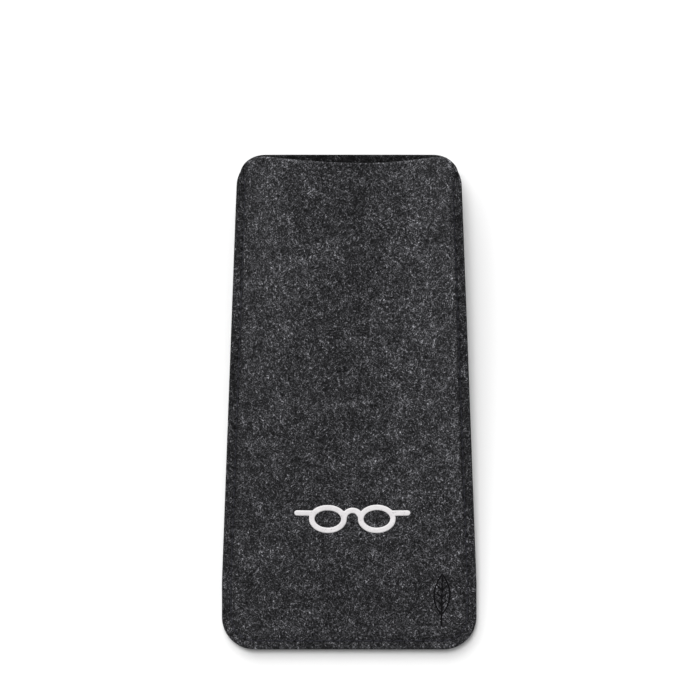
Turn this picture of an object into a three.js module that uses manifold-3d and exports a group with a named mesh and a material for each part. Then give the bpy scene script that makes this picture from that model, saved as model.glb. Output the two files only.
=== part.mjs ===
// A soft felt sleeve for one pair of glasses. It lies on its back panel, with its mouth towards +Y.
// Two felt panels are sewn together down both sides and along the bottom, and bow apart to the mouth.
// Millimetres. The origin is under the middle of the sleeve, on the surface that it lies on.

import * as THREE from 'three';
import { mergeVertices } from 'three/addons/utils/BufferGeometryUtils.js';
import Module from 'manifold-3d';

const wasm = await Module();
wasm.setup();

// Felt panels
const LENGTH = 180;
const WIDTH = 92.6; // across the bottom, where the sleeve is flat
const MOUTH_WIDTH = 80.8; // the open mouth draws the sides in
const TAPER_START = 25; // height above the bottom edge where the sides begin to draw in
const BOTTOM_CORNER = 12; // corner radii
const MOUTH_CORNER = 11;
const FELT = 2.5; // thickness of one panel
const PANEL_GAP = 0.3; // between the two panels where they are sewn
const BOW = 13.5; // how far each panel stands away from the seam at the middle of the mouth
const BOW_POWER = 1.2; // how gently the bow starts at the bottom seam
const SHOULDER_POWER = 4; // how flat the top of the bow is
const FLAT_TOP = 1.04; // above 1, the middle of each panel is quite flat
const SEAM_FILLET = 4; // radius with which a panel turns up from the seam
const MOUTH_FILLET = 10; // the same at the mouth, where no seam holds the edges together
const MOUTH_DIP = 2.8; // the front panel's mouth edge sags this far below its corners
const MOUTH_DIP_AT = 6; // where it sags the most, to the right of the middle

// Seam
const SEAM_INSET = 3.3; // from the cut edges
const SEAM_BELOW_MOUTH = 9;
const LOOSE_LENGTH = 14; // the panels' edges start to part this far below the mouth
const THREAD_RADIUS = 0.3;
const THREAD_DEPTH = 0.35; // from the felt's face to the middle of the thread
const GROOVE_RADIUS = THREAD_RADIUS + 0.3;

// Printed marks on the front panel
const FILM = 0.25; // thickness
const FILM_GAP = 0.1; // between the felt and the film
const SPECTACLES_AT = new THREE.Vector2(1.1, -41.2);
const LEAF_AT = new THREE.Vector2(33.5, -71.5);

// How finely the faceted solids follow their curves
const COLUMNS = 22;
const ROWS = 30;
const SEAM_STEPS = 90;
const FILM_ARC_STEPS = 7;

const TOP = LENGTH / 2;
const BOTTOM = -LENGTH / 2;
const SEAM_BOTTOM = BOTTOM + SEAM_INSET;

// Half the sleeve's width at y, its corners left square.
function squareHalfWidth(y) {
  const taper = (y - BOTTOM - TAPER_START) / (LENGTH - TAPER_START);
  return (WIDTH + (MOUTH_WIDTH - WIDTH) * Math.max(0, taper)) / 2;
}

// How much a round corner takes off the half width, at a distance from the end edge.
function cornerLoss(radius, distance) {
  const reach = Math.max(0, radius - distance);
  return radius - Math.sqrt(radius * radius - reach * reach);
}

function outlineHalfWidth(y) {
  return squareHalfWidth(y) - cornerLoss(MOUTH_CORNER, TOP - y) - cornerLoss(BOTTOM_CORNER, y - BOTTOM);
}

function seamHalfWidth(y) {
  return squareHalfWidth(y) - SEAM_INSET;
}

// How far each panel's middle stands away from the seam: nothing at the bottom seam, the most at the mouth.
function bowAt(y) {
  const along = THREE.MathUtils.clamp((y - SEAM_BOTTOM) / (TOP - SEAM_BOTTOM), 0, 1);
  return BOW * Math.sin(along * Math.PI / 2) ** BOW_POWER;
}

// The shape of the bow across a panel, from 0 at the seam and outside it to 1 in the middle.
// Above the seam's ends the panels part from the cut edge inwards, and more gently.
function crownAt(x, y) {
  const loose = THREE.MathUtils.smoothstep(y, TOP - LOOSE_LENGTH, TOP);
  const half = seamHalfWidth(y) + SEAM_INSET * loose;
  const fillet = THREE.MathUtils.lerp(SEAM_FILLET, MOUTH_FILLET, loose);
  const rise = (distance) => Math.hypot(distance, fillet) - fillet;
  const inwards = rise(Math.max(0, half - Math.abs(x))) / rise(half);
  return Math.min(1, FLAT_TOP * (1 - (1 - inwards) ** SHOULDER_POWER));
}

// How far the front panel sags towards the bottom, the most at its mouth edge.
function dipAt(x, y) {
  const reach = x < MOUTH_DIP_AT ? seamHalfWidth(y) + MOUTH_DIP_AT : seamHalfWidth(y) - MOUTH_DIP_AT;
  const away = (x - MOUTH_DIP_AT) / reach;
  return MOUTH_DIP * Math.max(0, 1 - away * away) ** 1.5 * (bowAt(y) / BOW) ** 2;
}

// A point on the inner face of a panel. The side is 1 for the front panel and -1 for the back one.
function innerPoint(side, x, y) {
  const crown = crownAt(x, y);
  const seamHeight = FELT + PANEL_GAP / 2 + bowAt(y);
  const dip = side > 0 ? dipAt(x, y) : 0;
  return new THREE.Vector3(x, y - dip, seamHeight + side * (PANEL_GAP / 2 + bowAt(y) * crown));
}

// The direction out of a panel's outer face.
function outwards(side, x, y) {
  const step = 0.01;
  const across = innerPoint(side, x + step, y).sub(innerPoint(side, x - step, y));
  const along = innerPoint(side, x, y + step).sub(innerPoint(side, x, y - step));
  return across.cross(along).normalize().multiplyScalar(side);
}

// A point at a height above the inner face of a panel: 0 is the inner face, FELT the outer one.
function panelPoint(side, x, y, height) {
  return innerPoint(side, x, y).addScaledVector(outwards(side, x, y), height);
}

// Moves every vertex of a geometry to where place puts it.
function warp(geometry, place) {
  const position = geometry.attributes.position;
  const vertex = new THREE.Vector3();
  for (let i = 0; i < position.count; i += 1) {
    vertex.fromBufferAttribute(position, i);
    const moved = place(vertex);
    position.setXYZ(i, moved.x, moved.y, moved.z);
  }
  return geometry;
}

function toSolid(geometry) {
  const bare = geometry.clone();
  bare.deleteAttribute('normal');
  bare.deleteAttribute('uv');
  const merged = mergeVertices(bare, 1e-5);
  return new wasm.Manifold(new wasm.Mesh({
    numProp: 3,
    vertProperties: new Float32Array(merged.attributes.position.array),
    triVerts: new Uint32Array(merged.index.array),
  }));
}

function toGeometry(solid) {
  const mesh = solid.getMesh();
  const geometry = new THREE.BufferGeometry();
  geometry.setAttribute('position', new THREE.BufferAttribute(mesh.vertProperties, 3));
  geometry.setIndex(new THREE.BufferAttribute(mesh.triVerts, 1));
  geometry.computeVertexNormals();
  return geometry;
}

// A slab of felt whose rows and columns crowd towards the edges, where the outline and the bow turn most.
function panelSolid(side) {
  const slab = new THREE.BoxGeometry(2, 2, FELT, COLUMNS, ROWS, 1);
  const crowd = (value) => Math.sin(value * Math.PI / 2);
  warp(slab, (vertex) => {
    const y = TOP * crowd(vertex.y);
    const x = outlineHalfWidth(y) * crowd(vertex.x);
    return panelPoint(side, x, y, FELT / 2 + side * vertex.z);
  });
  return toSolid(slab);
}

// The line of the seam seen from the front: down one side, round the bottom and up the other side.
function seamOutline() {
  const start = TOP - SEAM_BELOW_MOUTH;
  const half = seamHalfWidth(BOTTOM);
  const radius = BOTTOM_CORNER - SEAM_INSET;
  const line = new THREE.Path();
  line.moveTo(seamHalfWidth(start), start);
  line.lineTo(half, BOTTOM + TAPER_START);
  line.lineTo(half, SEAM_BOTTOM + radius);
  line.absarc(half - radius, SEAM_BOTTOM + radius, radius, 0, -Math.PI / 2, true);
  line.absarc(radius - half, SEAM_BOTTOM + radius, radius, -Math.PI / 2, -Math.PI, true);
  line.lineTo(-half, BOTTOM + TAPER_START);
  line.lineTo(-seamHalfWidth(start), start);
  return line;
}

// Points along the seam, just under the outer face of one panel.
function seamRoute(side) {
  const points = seamOutline().getSpacedPoints(SEAM_STEPS);
  return points.map((point) => panelPoint(side, point.x, point.y, FELT - THREAD_DEPTH));
}

// A cord of the given radius along the seam of one panel.
function seamCord(side, radius) {
  const section = new THREE.Shape().absarc(0, 0, radius, 0, 2 * Math.PI);
  return new THREE.ExtrudeGeometry(section, {
    steps: SEAM_STEPS,
    curveSegments: 4,
    extrudePath: new THREE.CatmullRomCurve3(seamRoute(side)),
  });
}

// One felt panel, with the round-ended groove that its thread lies in.
function panelGeometry(side) {
  const route = seamRoute(side);
  let groove = toSolid(seamCord(side, GROOVE_RADIUS));
  for (const end of [route[0], route.at(-1)]) {
    const ball = new THREE.SphereGeometry(GROOVE_RADIUS, 8, 6);
    groove = groove.add(toSolid(ball.translate(end.x, end.y, end.z)));
  }
  return toGeometry(panelSolid(side).subtract(groove));
}

// A closed ring between two ellipses.
function ellipseRing(x, y, radiusX, radiusY, stroke) {
  const ring = new THREE.Shape().absellipse(x, y, radiusX, radiusY, 0, 2 * Math.PI);
  ring.holes.push(new THREE.Path().absellipse(x, y, radiusX - stroke, radiusY - stroke, 0, 2 * Math.PI));
  return ring;
}

// A bar with round ends.
function roundBar(x1, y1, x2, y2, stroke) {
  const angle = Math.atan2(y2 - y1, x2 - x1);
  const bar = new THREE.Shape();
  bar.absarc(x1, y1, stroke / 2, angle + Math.PI / 2, angle + 3 * Math.PI / 2);
  bar.absarc(x2, y2, stroke / 2, angle - Math.PI / 2, angle + Math.PI / 2);
  return bar;
}

// An arch of constant stroke, standing on the two points (x - radius, y) and (x + radius, y).
function arch(x, y, radius, stroke) {
  const band = new THREE.Shape();
  band.absarc(x, y, radius + stroke / 2, 0, Math.PI);
  band.absarc(x, y, radius - stroke / 2, Math.PI, 0, true);
  return band;
}

// A pair of spectacles seen from the front, with its arms opened flat to the sides.
function spectaclesShapes() {
  const stroke = 2;
  const lens = { x: 8.9, radiusX: 6.9, radiusY: 5.3 };
  const bridgeY = 0.2;
  const armY = 2.1;
  const armTip = 19.9;
  const shapes = [arch(0, bridgeY, lens.x - lens.radiusX + stroke / 2, stroke)];
  for (const hand of [-1, 1]) {
    shapes.push(ellipseRing(hand * lens.x, 0, lens.radiusX, lens.radiusY, stroke));
    const hinge = lens.x + lens.radiusX - stroke;
    shapes.push(roundBar(hand * hinge, armY, hand * armTip, armY, stroke));
  }
  return shapes;
}

// A leaf's outline, from the stem up one side to the tip and down the other side.
function leafOutline(halfWidth, stemY, tipY) {
  const third = (tipY - stemY) / 3;
  const lowBulge = halfWidth * 1.4;
  const highBulge = halfWidth * 1.25;
  const outline = new THREE.Shape();
  outline.moveTo(0, stemY);
  outline.bezierCurveTo(lowBulge, stemY + third, highBulge, tipY - third, 0, tipY);
  outline.bezierCurveTo(-highBulge, tipY - third, -lowBulge, stemY + third, 0, stemY);
  return outline;
}

// An upright leaf drawn in thin lines: its edge, its middle rib with a stem, and pairs of side ribs.
function leafShapes() {
  const stroke = 0.5;
  const halfWidth = 3.1;
  const stemEndY = -9.2;
  const stemY = -5.5;
  const tipY = 9.5;
  const ribReach = 1.5;
  const edge = leafOutline(halfWidth, stemY, tipY);
  edge.holes.push(leafOutline(halfWidth - stroke, stemY + 3 * stroke, tipY - 3 * stroke));
  const shapes = [edge, roundBar(0, stemEndY, 0, tipY - 2 * stroke, stroke)];
  for (const y of [-1.8, 0.9, 3.6]) {
    for (const hand of [-1, 1]) {
      shapes.push(roundBar(0, y, hand * ribReach, y + ribReach, stroke));
    }
  }
  return shapes;
}

// Shapes drawn flat, joined to one film and laid on the front panel with their origin at a place.
function filmGeometry(shapes, place) {
  const solids = shapes.map((shape) => toSolid(new THREE.ExtrudeGeometry(shape, {
    depth: FILM,
    curveSegments: FILM_ARC_STEPS,
    bevelEnabled: false,
  })));
  const joined = solids.reduce((whole, solid) => whole.add(solid));
  return warp(toGeometry(joined), (vertex) => (
    panelPoint(1, place.x + vertex.x, place.y + vertex.y, FELT + FILM_GAP + vertex.z)
  ));
}

function piece(name, geometry, color, roughness) {
  const material = new THREE.MeshStandardMaterial({ color, roughness, metalness: 0 });
  const mesh = new THREE.Mesh(geometry, material);
  mesh.name = name;
  return mesh;
}

const sleeve = new THREE.Group();
sleeve.add(
  piece('front_panel', panelGeometry(1), 0x3c3d40, 1),
  piece('back_panel', panelGeometry(-1), 0x3c3d40, 1),
  piece('front_thread', seamCord(1, THREAD_RADIUS), 0x14151b, 0.7),
  piece('back_thread', seamCord(-1, THREAD_RADIUS), 0x14151b, 0.7),
  piece('spectacles_print', filmGeometry(spectaclesShapes(), SPECTACLES_AT), 0xe6e3e6, 0.6),
  piece('leaf_print', filmGeometry(leafShapes(), LEAF_AT), 0x0e0e10, 0.6),
);

export default sleeve;
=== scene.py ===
"""A soft sleeve for a pair of glasses: two charcoal felt panels, sewn together and bowed open at the mouth.

The sleeve lies on its back panel with its mouth towards +Y. Everything is in metres, in the CAD frame.
"""

import math

import bpy
import numpy as np
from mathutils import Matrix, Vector, noise


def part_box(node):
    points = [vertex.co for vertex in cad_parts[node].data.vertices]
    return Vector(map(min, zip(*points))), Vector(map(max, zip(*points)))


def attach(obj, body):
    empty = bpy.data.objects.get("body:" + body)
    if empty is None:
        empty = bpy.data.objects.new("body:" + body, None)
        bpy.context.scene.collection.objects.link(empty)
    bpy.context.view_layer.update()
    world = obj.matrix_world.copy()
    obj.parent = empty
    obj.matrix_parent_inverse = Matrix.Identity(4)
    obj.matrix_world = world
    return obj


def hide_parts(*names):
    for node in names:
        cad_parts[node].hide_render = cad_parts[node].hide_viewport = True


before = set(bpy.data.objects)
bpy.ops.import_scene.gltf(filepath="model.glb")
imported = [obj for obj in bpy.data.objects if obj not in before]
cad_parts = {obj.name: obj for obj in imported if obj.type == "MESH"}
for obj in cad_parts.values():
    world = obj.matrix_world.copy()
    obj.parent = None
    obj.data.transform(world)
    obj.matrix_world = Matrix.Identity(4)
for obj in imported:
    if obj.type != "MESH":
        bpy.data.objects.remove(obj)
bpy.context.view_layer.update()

MM = 0.001

# ------------------------------------------------------------------ sizes, from the frame

back_low, back_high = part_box("back_panel")
front_low, front_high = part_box("front_panel")
thread_low, thread_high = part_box("front_thread")

THREAD = 0.6 * MM  # the thickness of the thread in the CAD model
FELT = 2.5 * MM  # the felt's thickness
PANEL_GAP = 0.3 * MM  # between the two panels where they are sewn
BOTTOM, TOP = back_low.y, back_high.y
LENGTH = TOP - BOTTOM
WIDTH = front_high.x - front_low.x
BOW = (front_high.z - 2 * FELT - PANEL_GAP) / 2  # from the seam to a panel's middle, at the mouth
SEAM_INSET = (WIDTH - (thread_high.x - thread_low.x - THREAD)) / 2
SEAM_START = thread_high.y  # the seam's two ends, below the mouth
SEAM_BOTTOM = BOTTOM + SEAM_INSET

MOUTH_WIDTH = 80.8 * MM
TAPER_START = 25 * MM
BOTTOM_CORNER = 12 * MM
MOUTH_CORNER = 11 * MM
BOW_POWER = 1.2  # how gently the bow starts at the bottom seam
SHOULDER_POWER = 4  # how flat the top of the bow is
FLAT_TOP = 1.04  # above 1, the middle of each panel is quite flat
SEAM_FILLET = 4 * MM
MOUTH_FILLET = 10 * MM
LOOSE_LENGTH = 14 * MM  # the panels' edges start to part this far below the mouth
MOUTH_DIP = 2.8 * MM  # how far the front panel's mouth edge sags below its corners
MOUTH_DIP_AT = 6 * MM  # and how far right of the middle it is lowest

# ------------------------------------------------------------------ the felt's finer shape

EDGE_ROUND = 0.7 * MM  # radius of the cut edges
PRESSED = 0.45 * MM  # how much thinner the felt is outside the seam
SWELL = 0.25 * MM  # how much thicker it is just inside the seam
GROOVE_DEPTH = 0.45 * MM
GROOVE_WIDTH = 0.6 * MM
HOLE_DEPTH = 0.5 * MM  # the dimple round each needle hole
HOLE_WIDTH = 0.9 * MM
STITCH = 3.6 * MM  # from one needle hole to the next
RIDGE_HEIGHT = 0.8 * MM  # of the ridges that a pair of glasses raises in the front
RIDGES = ((-25 * MM, 9 * MM), (27 * MM, 8 * MM))  # where each one is, and its width
HOLLOW_DEPTH = 1.5 * MM  # of the hollow between them
HOLLOW_AT = 5.5 * MM
HOLLOW_WIDTH = 9 * MM
DENT_HEIGHT = 0.4 * MM  # of the front's slight unevenness
RELIEF_BOW = 3 * MM  # ridges and hollow fade out where the panels are bowed less than this
NAP_HEIGHT = 0.1 * MM  # of the waves in the felt's surface
NAP_SIZE = 6 * MM
FINE = 0.3 * MM  # mesh spacing near the edges and the seam
COARSE = 0.9 * MM  # and in the middle
FINE_REACH = 12 * MM  # how far in from the edges the fine spacing goes

# ------------------------------------------------------------------ the wool

FIBRE_WIDTH = 0.22 * MM
FIBRE_LENGTH = 2.0 * MM
FIBRE_CURL = 2.0 * MM  # how far noise bends the fibres sideways
FIBRE_DIRECTIONS = 7
FIBRE_TONE = 1.7  # how much lighter than the wool the fibres are
GRAIN_TONE, CLUMP_TONE, CLOUD_TONE = 5.1, 1.9, 1.7  # contrast of the small, middling and large patches
WOOL_GREY = 0.0133  # where the tone is 0
WOOL_TINT = (1.0, 1.0, 1.075)
INSIDE_PAINTED_SHADE = -1.3  # painted shade: the panels' inner faces are about a quarter as light


# ------------------------------------------------------------------ curves and noise

def smoothstep(low, high, value):
    t = np.clip((value - low) / (high - low), 0, 1)
    return t * t * (3 - 2 * t)


def bump(value, middle, width):
    return np.exp(-(((value - middle) / width) ** 2))


def ripple(x, y, wavelength, seed):
    """Smooth noise from about -1 to 1 at each point, the same on each run."""
    points = zip((x / wavelength).ravel(), (y / wavelength).ravel())
    values = [noise.noise(Vector((a, b, seed))) for a, b in points]
    return np.array(values).reshape(x.shape) * 1.6


# ------------------------------------------------------------------ the sleeve's shape

def square_half_width(y):
    """Half the sleeve's width at y, its corners left square."""
    taper = np.maximum(0, (y - BOTTOM - TAPER_START) / (LENGTH - TAPER_START))
    return (WIDTH + (MOUTH_WIDTH - WIDTH) * taper) / 2


def corner_loss(radius, distance):
    """How much a round corner takes off the half width, at a distance from the end edge."""
    reach = np.maximum(0, radius - distance)
    return radius - np.sqrt(radius**2 - reach**2)


def outline_half_width(y):
    loss = corner_loss(MOUTH_CORNER, TOP - y) + corner_loss(BOTTOM_CORNER, y - BOTTOM)
    return square_half_width(y) - loss


def inside_corner(from_side, from_end, radius):
    """The distance from an outline whose side and end meet in a round corner."""
    round_one = radius - np.hypot(radius - from_side, radius - from_end)
    in_corner = (from_side < radius) & (from_end < radius)
    return np.where(in_corner, round_one, np.minimum(from_side, from_end))


def sewn_distance(x, y):
    """How far inside the two sides and the bottom edge a point is."""
    return inside_corner(square_half_width(y) - np.abs(x), y - BOTTOM, BOTTOM_CORNER)


def edge_distance(x, y):
    mouth = inside_corner(square_half_width(y) - np.abs(x), TOP - y, MOUTH_CORNER)
    return np.maximum(0, np.minimum(sewn_distance(x, y), mouth))


def bow_at(y):
    """How far each panel's middle stands away from the seam at y."""
    along = np.clip((y - SEAM_BOTTOM) / (TOP - SEAM_BOTTOM), 0, 1)
    return BOW * np.sin(along * math.pi / 2) ** BOW_POWER


def rounded_rise(distance, radius):
    """A rise that starts level, turns up with a radius and then keeps up with the distance."""
    return np.hypot(distance, radius) - radius


def crown_at(x, y):
    """The shape of the bow across a panel, from 0 at the seam to 1 in the middle."""
    loose = smoothstep(TOP - LOOSE_LENGTH, TOP, y)
    half = square_half_width(y) - SEAM_INSET * (1 - loose)
    fillet = SEAM_FILLET + (MOUTH_FILLET - SEAM_FILLET) * loose
    inwards = rounded_rise(np.maximum(0, half - np.abs(x)), fillet) / rounded_rise(half, fillet)
    return np.minimum(1, FLAT_TOP * (1 - (1 - inwards) ** SHOULDER_POWER))


def dip_at(x, y):
    """How far the front panel sags towards the bottom, the most at its mouth edge."""
    half = square_half_width(y) - SEAM_INSET
    away = (x - MOUTH_DIP_AT) / np.where(x < MOUTH_DIP_AT, half + MOUTH_DIP_AT, half - MOUTH_DIP_AT)
    return MOUTH_DIP * np.maximum(0, 1 - away**2) ** 1.5 * (bow_at(y) / BOW) ** 2


def hollow_at(x, y):
    """The hollow between the rims of the glasses, 1 where the front panel is lowest."""
    return bump(x, HOLLOW_AT, HOLLOW_WIDTH) * smoothstep(-20 * MM, 50 * MM, y)


def ridges_at(x, y):
    """The two ridges that the rims of the glasses raise, 1 where the front panel is highest."""
    across = sum(bump(x, middle, width) for middle, width in RIDGES)
    return across * smoothstep(-40 * MM, 40 * MM, y)


def front_relief(x, y, crown):
    """The front panel's soft ridges and hollow, which the glasses have pressed into it."""
    dents = ripple(x, y, 34 * MM, 4.2) + 0.5 * ripple(x, y, 15 * MM, 9.7)
    relief = RIDGE_HEIGHT * ridges_at(x, y) - HOLLOW_DEPTH * hollow_at(x, y) + DENT_HEIGHT * dents
    return crown * relief


def inner_points(side, x, y):
    """Points on a panel's inner face. The side is 1 for the front panel and -1 for the back one."""
    bow, crown = bow_at(y), crown_at(x, y)
    lift = bow * crown
    dip = 0
    if side > 0:
        lift = lift + front_relief(x, y, crown) * np.minimum(1, bow / RELIEF_BOW)
        dip = dip_at(x, y)
    height = FELT + PANEL_GAP / 2 + bow + side * (PANEL_GAP / 2 + lift)
    return np.stack([x, y - dip, height], axis=-1)


def outward_normals(side, x, y):
    step = 0.2 * MM
    across = inner_points(side, x + step, y) - inner_points(side, x - step, y)
    along = inner_points(side, x, y + step) - inner_points(side, x, y - step)
    normal = side * np.cross(across, along)
    return normal / np.linalg.norm(normal, axis=-1, keepdims=True)


# ------------------------------------------------------------------ the seam

def seam_line():
    """Evenly spaced needle holes along the seam, seen from the front, from one end to the other."""
    radius = BOTTOM_CORNER - SEAM_INSET
    half = square_half_width(BOTTOM) - SEAM_INSET
    top = square_half_width(SEAM_START) - SEAM_INSET
    turn = np.linspace(0, math.pi / 2, 24)
    corner_x = half - radius + radius * np.cos(turn)
    corner_y = SEAM_BOTTOM + radius - radius * np.sin(turn)
    right_x = np.concatenate([[top, half], corner_x])
    right_y = np.concatenate([[SEAM_START, BOTTOM + TAPER_START], corner_y])
    line_x = np.concatenate([right_x, -right_x[::-1]])
    line_y = np.concatenate([right_y, right_y[::-1]])
    travelled = np.concatenate([[0], np.cumsum(np.hypot(np.diff(line_x), np.diff(line_y)))])
    count = round(travelled[-1] / STITCH)
    at = np.linspace(0, travelled[-1], count + 1)
    return np.stack([np.interp(at, travelled, line_x), np.interp(at, travelled, line_y)], axis=1)


needle_holes = seam_line()


def hole_dimples(x, y):
    """The dimple round each needle hole, 1 at a hole and 0 away from them."""
    depth = np.zeros(x.shape)
    for hole_x, hole_y in needle_holes:
        near = (np.abs(x - hole_x) < 3 * HOLE_WIDTH) & (np.abs(y - hole_y) < 3 * HOLE_WIDTH)
        apart = np.hypot(x[near] - hole_x, y[near] - hole_y)
        depth[near] = np.maximum(depth[near], bump(apart, 0, HOLE_WIDTH))
    return depth


def thickness(x, y, with_holes=True):
    """The felt's thickness at each point, thin where it is sewn and pressed."""
    from_seam = sewn_distance(x, y) - SEAM_INSET
    sewn = smoothstep(SEAM_START + 2 * MM, SEAM_START - 3 * MM, y)
    groove = GROOVE_DEPTH * bump(from_seam, 0, GROOVE_WIDTH)
    pressed = PRESSED * smoothstep(0.5 * MM, -1.5 * MM, from_seam)
    swell = SWELL * bump(from_seam, 3 * MM, 1.6 * MM)
    holes = HOLE_DEPTH * hole_dimples(x, y) if with_holes else 0
    return FELT - sewn * (groove + pressed - swell + holes)


def nap_seed(side):
    return 20.0 + 7 * side


def nap(x, y, seed):
    """The felt's uneven surface: wide low waves with finer ones on them."""
    wide, fine = ripple(x, y, NAP_SIZE, seed), ripple(x, y, 2.2 * MM, seed + 3)
    return NAP_HEIGHT * (wide + 0.6 * fine)


def outer_points(side, x, y, above=0.0):
    """Points a little above a panel's outer face, with the face's unevenness left out."""
    height = thickness(x, y, with_holes=False) + above
    return inner_points(side, x, y) + outward_normals(side, x, y) * height[..., None]


# ------------------------------------------------------------------ meshes

def make_object(name, points, faces):
    mesh = bpy.data.meshes.new(name)
    mesh.from_pydata([tuple(p) for p in points], [], faces)
    mesh.validate()
    mesh.shade_smooth()
    piece = bpy.data.objects.new(name, mesh)
    bpy.context.scene.collection.objects.link(piece)
    return piece


def closed_shell(top, bottom, faces):
    """The points and faces of a solid between two surfaces that share their faces."""
    open_edges = set()
    for face in faces:
        for a, b in zip(face, face[1:] + face[:1]):
            if (b, a) in open_edges:
                open_edges.remove((b, a))
            else:
                open_edges.add((a, b))
    count = len(top)
    rim = [(b, a, a + count, b + count) for a, b in sorted(open_edges)]
    under = [tuple(i + count for i in reversed(face)) for face in faces]
    return np.concatenate([top, bottom]), faces + under + rim


def set_tone(piece, values):
    """Stores how much lighter or darker each point of a piece is, painted light and shade among it: 0.1 is
    about a tenth lighter.
    """
    tone = piece.data.attributes.new("tone", "FLOAT", "POINT")
    tone.data.foreach_set("value", values)


# ------------------------------------------------------------------ the felt panels

def grid_faces(rows, columns, flip):
    """The faces of a grid of points, turned over if flip is true."""
    faces = []
    for row in range(rows - 1):
        for column in range(columns - 1):
            a = row * columns + column
            face = (a, a + 1, a + columns + 1, a + columns)
            faces.append(face[::-1] if flip else face)
    return faces


def from_both_edges(half):
    """Offsets from one edge to the other of a strip 2 * half wide, crowding at both edges."""
    rounding = np.array([0, 0.08, 0.25, 0.5]) * MM  # close steps round the cut edge
    near = np.concatenate([rounding, np.arange(0.8 * MM, FINE_REACH, FINE)])
    middle_count = math.ceil((half - near[-1]) / COARSE) + 1
    left = np.concatenate([near, np.linspace(near[-1], half, middle_count)[1:]])
    return np.concatenate([left, 2 * half - left[-2::-1]])


def outer_tone_and_painted_light(side, x, y):
    """The tone of a panel's outer face at each point, most of it painted light and shade.

    The pressed margin is dark. The groove has painted shade up the sides and painted light along the
    bottom;
    the needle holes have painted shade and the swell just inside the seam a painted highlight. The whole
    face has painted shade towards the bottom. The front panel has painted highlights on its ridges, its
    mouth edge and its right half, and painted shade in its hollow.
    """
    from_seam = sewn_distance(x, y) - SEAM_INSET
    higher_up = smoothstep(BOTTOM + 5 * MM, BOTTOM + 75 * MM, y)
    painted_shade_low_down = smoothstep(-30 * MM, -75 * MM, y)
    margin = smoothstep(2.3 * MM, 1.0 * MM, from_seam)
    groove = bump(from_seam, 0.3 * MM, 0.5 * MM)
    painted_swell_highlight = bump(from_seam, 3.2 * MM, 2.5 * MM)
    # painted shade, darker towards the bottom; the pressed margin darker, the more so higher up
    tone = -0.14 * painted_shade_low_down - (0.08 + 0.32 * higher_up) * margin
    # painted shade in the groove up the sides, painted light in it along the bottom
    tone += (0.65 - 1.03 * higher_up) * groove
    # a painted highlight on the swell just inside the seam, and painted shade in the needle holes
    tone += 0.1 * painted_swell_highlight - 0.9 * hole_dimples(x, y) ** 3
    if side > 0:
        painted_mouth_highlight = bump(TOP - y, 0.3 * MM, 0.5 * MM)
        painted_light_rightwards = x / (40 * MM)
        # painted light, lighter towards the right
        tone += 0.2 * higher_up * (1 - margin) * painted_light_rightwards
        # painted highlights on the ridges and along the mouth edge, painted shade in the hollow
        tone += 0.22 * ridges_at(x, y) - 0.22 * hollow_at(x, y) + 0.35 * painted_mouth_highlight
    return tone


def felt_panel(name, side):
    """One felt panel: a closed slab with soft cut edges, sunk along its seam."""
    half = WIDTH / 2
    across = from_both_edges(half) / half - 1
    y = BOTTOM + from_both_edges(LENGTH / 2)
    x = outline_half_width(y)[:, None] * across[None, :]
    y = np.repeat(y[:, None], len(across), axis=1)
    edge = np.maximum(0, EDGE_ROUND - edge_distance(x, y))
    rounding = EDGE_ROUND - np.sqrt(EDGE_ROUND**2 - edge**2)
    inner, normal = inner_points(side, x, y), outward_normals(side, x, y)
    high = thickness(x, y) - rounding + nap(x, y, nap_seed(side))
    low = rounding + 0.5 * nap(x, y, nap_seed(side) + 11)
    outer_face = (inner + normal * high[..., None]).reshape(-1, 3)
    inner_face = (inner + normal * low[..., None]).reshape(-1, 3)
    if side < 0:  # the back panel lies on the floor and doesn't sink into it
        outer_face[:, 2] = np.maximum(outer_face[:, 2], 0)
    points, faces = closed_shell(outer_face, inner_face, grid_faces(*x.shape, side < 0))
    panel = make_object(name, points, faces)
    # painted shade on the inner faces
    inside = np.full(x.size, INSIDE_PAINTED_SHADE)
    set_tone(panel, np.concatenate([outer_tone_and_painted_light(side, x, y).ravel(), inside]))
    return panel


# ------------------------------------------------------------------ the stitches

def tube(path, ups, radius, sides):
    """The points and faces of a closed round tube along a path."""
    tangent = np.gradient(path, axis=0)
    tangent /= np.linalg.norm(tangent, axis=1, keepdims=True)
    across = np.cross(tangent, ups)
    across /= np.linalg.norm(across, axis=1, keepdims=True)
    up = np.cross(across, tangent)
    angles = np.arange(sides) * 2 * math.pi / sides
    ring = across[:, None] * np.cos(angles)[None, :, None] + up[:, None] * np.sin(angles)[None, :, None]
    points = (path[:, None] + radius * ring).reshape(-1, 3)
    faces = [tuple(range(sides)), tuple(len(points) - 1 - i for i in range(sides))]
    for start in range(0, len(points) - sides, sides):
        for i in range(sides):
            j = (i + 1) % sides
            faces.append((start + i, start + i + sides, start + j + sides, start + j))
    return points, faces


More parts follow.
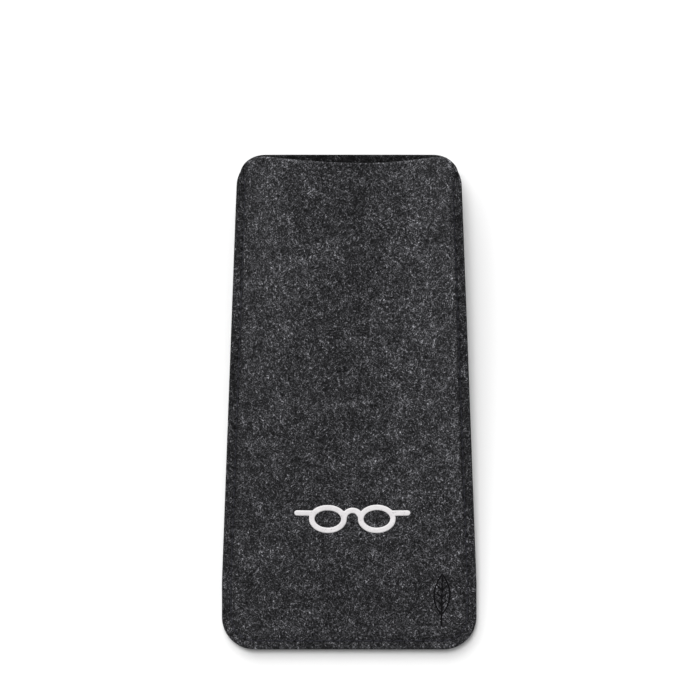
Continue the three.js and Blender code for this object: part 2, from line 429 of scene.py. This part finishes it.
def stitches(name, side):
    """The seam's stitches on one face of the sleeve, each two twisted strands between two holes."""
    strand_radius, twist_radius, twist_length = 0.15 * MM, 0.13 * MM, 1.2 * MM
    above_groove, below_hole = 0.08 * MM, 1.1 * MM
    sides, steps = 6, 18
    along = np.linspace(0, 1, steps)
    from_middle = np.abs(2 * along - 1)
    all_points, all_faces, count = [], [], 0
    for start, end in zip(needle_holes[:-1], needle_holes[1:]):
        flat = start + (end - start) * along[:, None]
        height = above_groove - below_hole * from_middle**7
        x, y = flat[:, 0], flat[:, 1]
        middle = outer_points(side, x, y, above=height)
        up = outward_normals(side, x, y)
        tangent = np.gradient(middle, axis=0)
        across = np.cross(tangent, up)
        across /= np.linalg.norm(across, axis=1, keepdims=True)
        for phase in (0, math.pi):
            angle = along * STITCH / twist_length * 2 * math.pi + phase
            offset = across * np.cos(angle)[:, None] + up * np.sin(angle)[:, None]
            points, faces = tube(middle + twist_radius * offset, up, strand_radius, sides)
            all_points.append(points)
            all_faces += [tuple(i + count for i in face) for face in faces]
            count += len(points)
    piece = make_object(name, np.concatenate(all_points), all_faces)
    # painted shade down in the needle holes, darkest at each strand's ends
    painted_shade_in_holes = np.repeat(-2.2 * from_middle**5, sides)
    set_tone(piece, np.tile(painted_shade_in_holes, len(all_points)))
    return piece


# ------------------------------------------------------------------ printed marks

def ellipse(x, y, radius_x, radius_y, start=0.0, end=2 * math.pi):
    """Points along an ellipse, or along the part of it between two angles."""
    angles = np.linspace(start, end, 64)
    return np.stack([x + radius_x * np.cos(angles), y + radius_y * np.sin(angles)], axis=1)


def spectacles_strokes():
    """A pair of spectacles seen from the front, with its arms opened flat to the sides."""
    lens_x, radius_x, radius_y = 8.9 * MM, 5.9 * MM, 4.3 * MM
    bridge_radius, bridge_y = lens_x - radius_x, 0.2 * MM
    hinge_x, arm_y, tip_x = lens_x + radius_x - 0.5 * MM, 2.1 * MM, 19.9 * MM
    strokes = [ellipse(0, bridge_y, bridge_radius, bridge_radius, 0, math.pi)]
    for hand in (-1, 1):
        strokes.append(ellipse(hand * lens_x, 0, radius_x, radius_y))
        strokes.append(np.array([(hand * hinge_x, arm_y), (hand * tip_x, arm_y)]))
    return strokes


def leaf_strokes():
    """An upright leaf in thin lines: its edge, its middle rib with a stem, and its side ribs."""
    half_width, stem_end, stem, tip = 2.85 * MM, -9.2 * MM, -5.5 * MM, 9.5 * MM
    first_rib, rib_step, rib_reach = -1.8 * MM, 2.7 * MM, 1.6 * MM
    t = np.linspace(0, 1, 40)
    x = 3 * half_width * t * (1 - t) * (1.4 * (1 - t) + 1.25 * t)
    y = stem + (tip - stem) * t
    strokes = [np.stack([hand * x, y], axis=1) for hand in (-1, 1)]
    strokes.append(np.array([(0, stem_end), (0, tip - 1 * MM)]))
    for rib_y in first_rib + rib_step * np.arange(3):
        for hand in (-1, 1):
            strokes.append(np.array([(0, rib_y), (hand * rib_reach, rib_y + rib_reach)]))
    return strokes


def stroke_distance(strokes, x, y):
    """The distance from each point to the nearest stroke's middle line."""
    nearest = np.full(x.shape, np.inf)
    for stroke in strokes:
        for (ax, ay), (bx, by) in zip(stroke[:-1], stroke[1:]):
            length = max((bx - ax) ** 2 + (by - ay) ** 2, 1e-18)
            t = np.clip(((x - ax) * (bx - ax) + (y - ay) * (by - ay)) / length, 0, 1)
            nearest = np.minimum(nearest, np.hypot(x - ax - t * (bx - ax), y - ay - t * (by - ay)))
    return nearest


def cut_grid(x, y, level):
    """The part of a grid where level is negative, as points, faces and the level at each point."""
    rows, columns = x.shape
    points, faces, known = [], [], {}

    def point_on(a, b):
        """The grid point a, or where level is 0 between grid points a and b."""
        key = (min(a, b), max(a, b))
        if key not in known:
            t = 0 if a == b else level[key[0]] / (level[key[0]] - level[key[1]])
            known[key] = len(points)
            here, there = key
            points.append((x[here] + t * (x[there] - x[here]), y[here] + t * (y[there] - y[here]),
                           level[a] if a == b else 0.0))
        return known[key]

    for row in range(rows - 1):
        for column in range(columns - 1):
            corners = [(row, column), (row, column + 1), (row + 1, column + 1), (row + 1, column)]
            if all(level[corner] >= 0 for corner in corners):
                continue
            face = []
            for a, b in zip(corners, corners[1:] + corners[:1]):
                if level[a] < 0:
                    face.append(point_on(a, a))
                if (level[a] < 0) != (level[b] < 0):
                    face.append(point_on(a, b))
            faces.append(tuple(face))
    return np.array(points), faces


def film(name, strokes, width, centre, above, below, ragged=0.0):
    """A printed film on the front panel, its edges rounded and its underside sunk in the felt."""
    spacing, edge_round = width / 6, 0.2 * MM
    every_point = np.concatenate(strokes)
    low, high = every_point.min(axis=0) - width, every_point.max(axis=0) + width
    x, y = np.meshgrid(np.arange(low[0], high[0], spacing), np.arange(low[1], high[1], spacing))
    level = stroke_distance(strokes, x, y) - width / 2
    level = level + ragged * ripple(x, y, 0.5 * MM, 2.5)
    cut, faces = cut_grid(x, y, level)
    place_x, place_y = cut[:, 0] + centre[0], cut[:, 1] + centre[1]
    surface = nap(place_x, place_y, nap_seed(1))
    edge = np.clip(1 + cut[:, 2] / edge_round, 0, 1)
    top = outer_points(1, place_x, place_y, above=surface + above * np.sqrt(1 - edge**2))
    bottom = outer_points(1, place_x, place_y, above=surface - below)
    return make_object(name, *closed_shell(top, bottom, faces))


def film_centre(node):
    """The origin of a film's drawing, chosen so that the film lands in the middle of the CAD one."""
    low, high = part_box(node)
    middle = np.array([(low.x + high.x) / 2, (low.y + high.y) / 2])
    landed = outer_points(1, middle[:1], middle[1:])[0]
    return 2 * middle - landed[:2]


# ------------------------------------------------------------------ materials

class Nodes:
    """Adds nodes to a material and links them, in the order that they are written."""

    def __init__(self, name):
        self.material = bpy.data.materials.new(name)
        self.material.use_nodes = True
        self.tree = self.material.node_tree
        self.shader = self.tree.nodes["Principled BSDF"]
        self.place = self.add("ShaderNodeTexCoord").outputs["Object"]

    def add(self, kind, **settings):
        node = self.tree.nodes.new(kind)
        for name, value in settings.items():
            setattr(node, name, value)
        return node

    def put(self, socket, value):
        """Links a node's output to a socket, or sets the socket to a plain value."""
        if isinstance(value, bpy.types.NodeSocket):
            self.tree.links.new(value, socket)
        else:
            socket.default_value = value

    def math(self, operation, *values):
        node = self.add("ShaderNodeMath", operation=operation)
        for socket, value in zip(node.inputs, values):
            self.put(socket, value)
        return node.outputs[0]

    def vector(self, operation, *values):
        node = self.add("ShaderNodeVectorMath", operation=operation)
        for socket, value in zip(node.inputs, values):
            self.put(socket, value)
        return node.outputs[0]

    def ramp(self, value, from_low, from_high, to_low=0.0, to_high=1.0):
        """A straight rise from one range to another, level outside it."""
        node = self.add("ShaderNodeMapRange", clamp=True)
        for socket, given in zip(node.inputs, (value, from_low, from_high, to_low, to_high)):
            self.put(socket, given)
        return node.outputs[0]

    def noise(self, size, shift=0.0, detail=0.0, output="Fac"):
        """Noise whose features are about size metres across."""
        node = self.add("ShaderNodeTexNoise")
        self.put(node.inputs["Vector"], self.vector("ADD", self.place, (shift, 0.7 * shift, 0.3 * shift)))
        node.inputs["Scale"].default_value = 1 / size
        node.inputs["Detail"].default_value = detail
        return node.outputs[output]

    def mix(self, factor, first, second):
        node = self.add("ShaderNodeMix", data_type="RGBA")
        self.put(node.inputs["Factor"], factor)
        self.put(node.inputs["A"], first)
        self.put(node.inputs["B"], second)
        return node.outputs["Result"]

    def attribute(self, name):
        return self.add("ShaderNodeAttribute", attribute_name=name).outputs["Fac"]

    def bump(self, height, distance, strength):
        node = self.add("ShaderNodeBump")
        self.put(node.inputs["Height"], height)
        node.inputs["Distance"].default_value = distance
        node.inputs["Strength"].default_value = strength
        self.put(self.shader.inputs["Normal"], node.outputs["Normal"])


def fibres(nodes, place, turn, shift):
    """Short fibres lying in one direction: noise drawn out along it, of which only the peaks show."""
    mapping = nodes.add("ShaderNodeMapping", vector_type="TEXTURE")
    nodes.put(mapping.inputs["Vector"], place)
    mapping.inputs["Location"].default_value = (shift, 0.7 * shift, 0.3 * shift)
    mapping.inputs["Rotation"].default_value = (0, 0, turn)
    mapping.inputs["Scale"].default_value = (FIBRE_LENGTH, FIBRE_WIDTH, FIBRE_LENGTH)
    node = nodes.add("ShaderNodeTexNoise")
    nodes.put(node.inputs["Vector"], mapping.outputs["Vector"])
    node.inputs["Scale"].default_value = 1
    node.inputs["Detail"].default_value = 0
    return nodes.ramp(node.outputs["Fac"], 0.63, 0.77)


def felt_material(name, seed):
    """Charcoal melange felt: near-black wool shot through with short, curly, lighter fibres."""
    nodes = Nodes(name)
    curl = nodes.vector("SUBTRACT", nodes.noise(2.6 * MM, seed, 1.0, "Color"), (0.5, 0.5, 0.5))
    bent = nodes.vector("MULTIPLY_ADD", curl, (FIBRE_CURL, FIBRE_CURL, FIBRE_CURL), nodes.place)
    light = 0.0
    for i in range(FIBRE_DIRECTIONS):
        layer = fibres(nodes, bent, i * math.pi / FIBRE_DIRECTIONS + 0.2, seed + 0.013 * (i + 1))
        brightness = 0.5 + 0.5 * (i % 2)
        light = nodes.math("MULTIPLY_ADD", layer, brightness, light)
    light = nodes.math("MINIMUM", light, 1.3)  # so that crossing fibres don't glare

    # the tone attribute brings in the panels' painted light and shade
    tone = nodes.math("MULTIPLY_ADD", light, FIBRE_TONE, nodes.attribute("tone"))
    grain = nodes.noise(0.48 * MM, seed + 0.53, 1.0)
    clumps = nodes.noise(1.0 * MM, seed + 0.33, 1.0)
    clouds = nodes.noise(5.5 * MM, seed + 0.71, 2.0)
    for patches, strength in ((grain, GRAIN_TONE), (clumps, CLUMP_TONE), (clouds, CLOUD_TONE)):
        tone = nodes.math("MULTIPLY_ADD", nodes.math("SUBTRACT", patches, 0.5), strength, tone)
    grey = nodes.math("MULTIPLY", nodes.math("EXPONENT", tone), WOOL_GREY)
    nodes.put(nodes.shader.inputs["Base Color"], nodes.vector("MULTIPLY", grey, WOOL_TINT))
    nodes.put(nodes.shader.inputs["Roughness"], nodes.ramp(grain, 0.3, 0.7, 0.98, 0.86))
    nodes.shader.inputs["Specular IOR Level"].default_value = 0.05
    nodes.shader.inputs["Sheen Weight"].default_value = 0.02
    nodes.shader.inputs["Sheen Roughness"].default_value = 0.5
    nodes.bump(nodes.math("MULTIPLY_ADD", light, 0.6, grain), 0.12 * MM, 0.8)
    return nodes.material


def thread_material(name):
    """Twisted polyester thread, a blue-black as dark as the felt."""
    nodes = Nodes(name)
    fluff = nodes.noise(0.4 * MM, detail=2.0)
    colour = nodes.mix(nodes.ramp(fluff, 0.35, 0.65), (0.007, 0.007, 0.010, 1), (0.037, 0.037, 0.048, 1))
    # the tone attribute carries the painted shade in the needle holes
    shade = nodes.math("EXPONENT", nodes.attribute("tone"))
    nodes.put(nodes.shader.inputs["Base Color"], nodes.vector("MULTIPLY", colour, shade))
    nodes.put(nodes.shader.inputs["Roughness"], nodes.ramp(fluff, 0.3, 0.7, 0.55, 0.8))
    nodes.shader.inputs["Specular IOR Level"].default_value = 0.15
    nodes.shader.inputs["Sheen Weight"].default_value = 0.05
    nodes.bump(fluff, 0.04 * MM, 0.6)
    return nodes.material


def print_material(name, colour, worn, specular):
    """Transfer print with a fine grain, and small pores of a worn colour where the felt's nap shows."""
    nodes = Nodes(name)
    grain = nodes.noise(0.5 * MM, 0.3, 2.0)
    pores = nodes.ramp(nodes.noise(0.9 * MM, 0.6, 2.0), 0.66, 0.72)
    shade = tuple(0.9 * channel for channel in colour[:3]) + (1,)
    face = nodes.mix(nodes.ramp(grain, 0.3, 0.7), shade, colour)
    nodes.put(nodes.shader.inputs["Base Color"], nodes.mix(pores, face, worn))
    nodes.put(nodes.shader.inputs["Roughness"], nodes.ramp(grain, 0.3, 0.7, 0.52, 0.68))
    nodes.shader.inputs["Specular IOR Level"].default_value = specular
    nodes.bump(grain, 0.06 * MM, 0.7)
    return nodes.material


def floor_material():
    """A matt, nearly white floor."""
    nodes = Nodes("floor")
    colour = nodes.mix(nodes.noise(0.4, detail=1.0), (0.86, 0.86, 0.86, 1), (0.88, 0.88, 0.88, 1))
    nodes.put(nodes.shader.inputs["Base Color"], colour)
    nodes.shader.inputs["Roughness"].default_value = 0.9
    nodes.shader.inputs["Specular IOR Level"].default_value = 0.0
    return nodes.material


# ------------------------------------------------------------------ the pieces

def add_piece(piece, material, node):
    """Gives a piece its material and puts it in the place of its CAD node."""
    piece.data.materials.append(material)
    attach(piece, "root")
    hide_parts(node)


for node, side, seed in (("front_panel", 1, 0.0), ("back_panel", -1, 1.7)):
    panel = felt_panel("felt_" + node, side)
    add_piece(panel, felt_material(node + "_felt", seed), node)

thread = thread_material("sewing_thread")
for node, side in (("front_thread", 1), ("back_thread", -1)):
    add_piece(stitches("stitches_" + node.split("_")[0], side), thread, node)

white = print_material("white_print", (0.71, 0.69, 0.70, 1), (0.42, 0.41, 0.42, 1), specular=0.3)
spectacles = film("print_spectacles", spectacles_strokes(), 2.0 * MM, film_centre("spectacles_print"),
                  above=0.1 * MM, below=0.1 * MM)
add_piece(spectacles, white, "spectacles_print")

black = print_material("dark_print", (0.003, 0.003, 0.0035, 1), (0.012, 0.012, 0.013, 1), specular=0.05)
leaf = film("print_leaf", leaf_strokes(), 0.56 * MM, film_centre("leaf_print"),
            above=0.05 * MM, below=0.15 * MM, ragged=0.03 * MM)
add_piece(leaf, black, "leaf_print")

# ------------------------------------------------------------------ floor, light and camera

bpy.ops.mesh.primitive_plane_add(size=60, location=(0, 0, -0.05 * MM))
floor = bpy.context.object
floor.name = "floor"
floor.data.materials.append(floor_material())

world = bpy.data.worlds.new("studio")
world.use_nodes = True
world.node_tree.nodes["Background"].inputs["Color"].default_value = (1, 1, 1, 1)
world.node_tree.nodes["Background"].inputs["Strength"].default_value = 0.4
bpy.context.scene.world = world


def add_softbox(towards, strength, spread):
    """A far-off soft lamp, its spread the angle in degrees that it takes up in the sky."""
    lamp = bpy.data.lights.new("softbox", "SUN")
    lamp.energy = strength
    lamp.angle = math.radians(spread)
    softbox = bpy.data.objects.new("softbox", lamp)
    softbox.rotation_euler = Vector(towards).to_track_quat("Z", "Y").to_euler()
    bpy.context.scene.collection.objects.link(softbox)


add_softbox((-0.45, 1.3, 1), strength=2.67, spread=61)  # low, beyond the mouth, with a wide soft shadow
add_softbox((-0.1, 0.3, 1), strength=1.475, spread=20)  # high up, with a narrow one

CAMERA_HEIGHT = 4.0  # far off, so that the sleeve is seen almost without perspective
VIEW_WIDTH = 254.7 * MM  # the width that the picture covers at the sleeve
CAMERA_TILT = math.radians(1.5)
camera = bpy.data.cameras.new("camera")
camera.sensor_width = 36
camera.lens = camera.sensor_width * CAMERA_HEIGHT / VIEW_WIDTH
camera.clip_end = 100
eye = bpy.data.objects.new("camera", camera)
aim = Vector((0.3 * MM, 19 * MM, FELT))
eye.location = aim + CAMERA_HEIGHT * Vector((0, math.sin(CAMERA_TILT), math.cos(CAMERA_TILT)))
eye.rotation_euler = (-CAMERA_TILT, 0, 0)
bpy.context.scene.collection.objects.link(eye)
bpy.context.scene.camera = eye
bpy.context.scene.view_settings.view_transform = "Standard"
